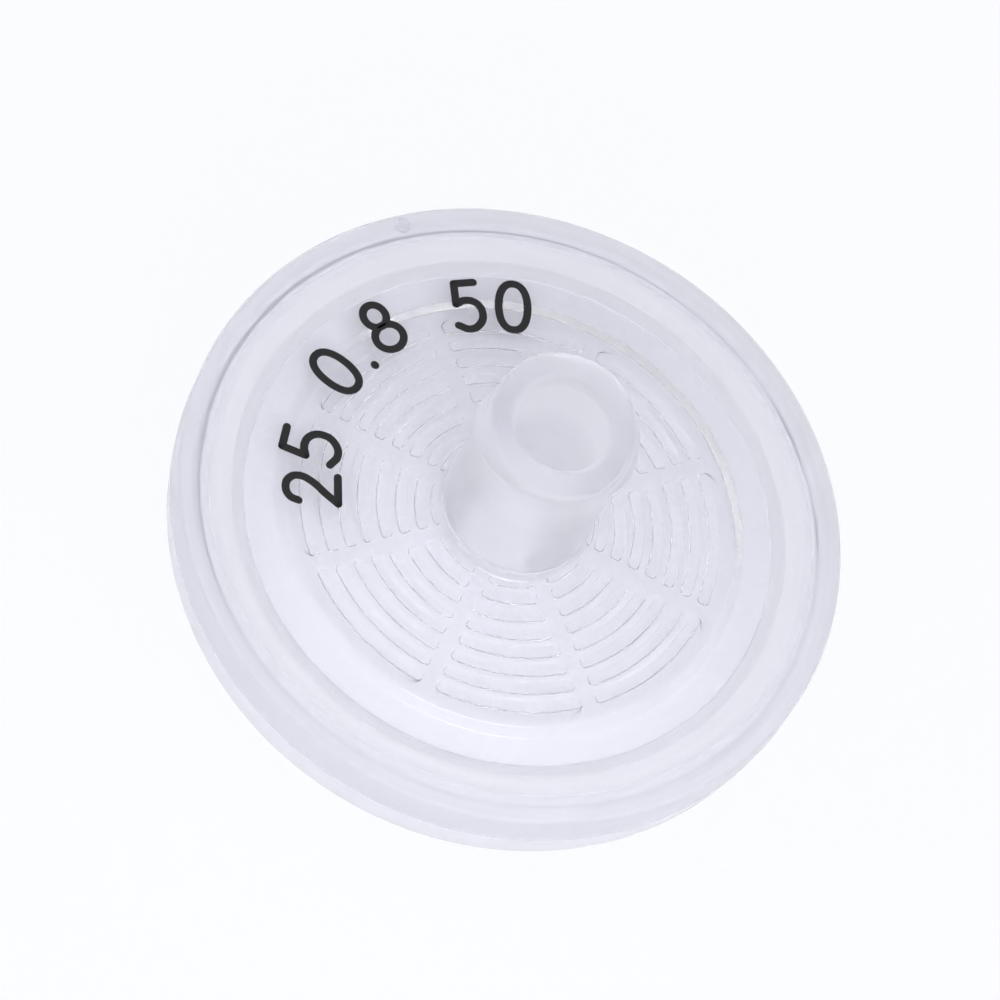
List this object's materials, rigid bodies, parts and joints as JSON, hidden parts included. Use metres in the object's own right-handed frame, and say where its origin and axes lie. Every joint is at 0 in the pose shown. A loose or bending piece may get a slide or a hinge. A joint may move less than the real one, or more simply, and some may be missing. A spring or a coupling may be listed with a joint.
{
  "type": "syringe filter",
  "caption": "Round disc filter for a syringe: clear welded shells around a white filter disc, with a threaded socket above and a tapered tip below.",
  "frame": {"origin": "centre of the inlet socket's mouth, where the syringe's cone enters", "axes": "+Z along the filter's axis towards the syringe, so the flow runs down -Z; +X along one radial channel of the flow field"},
  "size_m": [0.031, 0.031, 0.0218],
  "materials": {
    "clear_plastic": "gloss",
    "milky_plastic": "satin",
    "glass_fibre": "matte fibrous"
  },
  "bodies": {
    "root": {"inlet_housing": "clear_plastic", "outlet_housing": "milky_plastic", "filter_disc": "glass_fibre"}
  },
  "joints": []
}
